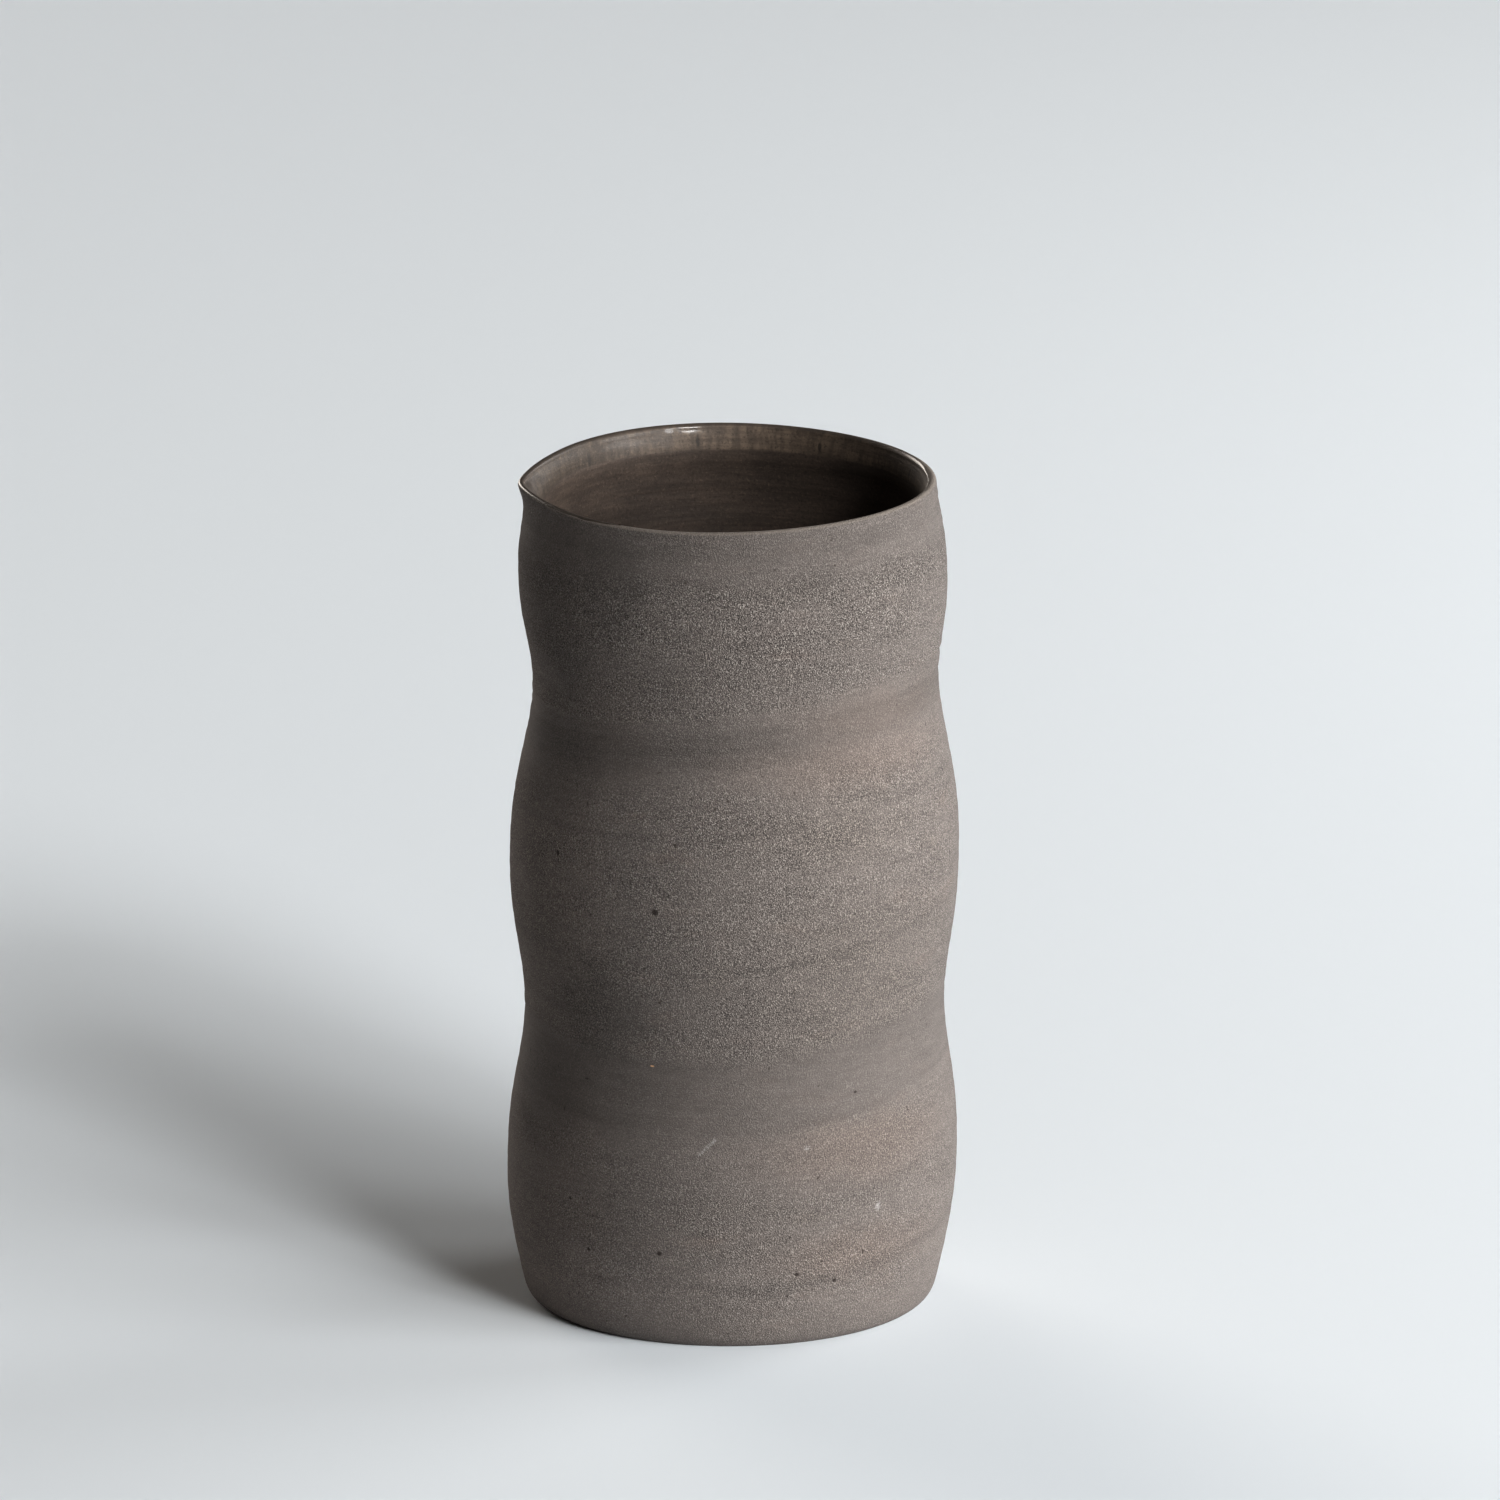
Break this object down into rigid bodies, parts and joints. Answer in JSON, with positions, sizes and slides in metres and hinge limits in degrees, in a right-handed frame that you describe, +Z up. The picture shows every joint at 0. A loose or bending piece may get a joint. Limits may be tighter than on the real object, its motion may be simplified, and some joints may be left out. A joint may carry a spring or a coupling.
{
  "type": "pottery vase",
  "caption": "Tall wheel-thrown stoneware vase with soft swells and waists, an uneven mouth with a slight pulled-out corner, and a thin glaze lining.",
  "frame": {"origin": "middle of the bottom of the vase's box, on the plane it stands on", "axes": "+Z up along the vase; the pulled-out corner of the mouth points along -X"},
  "size_m": [0.1204, 0.12, 0.2262],
  "materials": {
    "raw_stoneware": "matte, raw sandy clay",
    "liner_glaze": "satin, clear glaze over dark clay"
  },
  "bodies": {
    "root": {"stoneware_body": "raw_stoneware", "liner_glaze": "liner_glaze"}
  },
  "joints": []
}
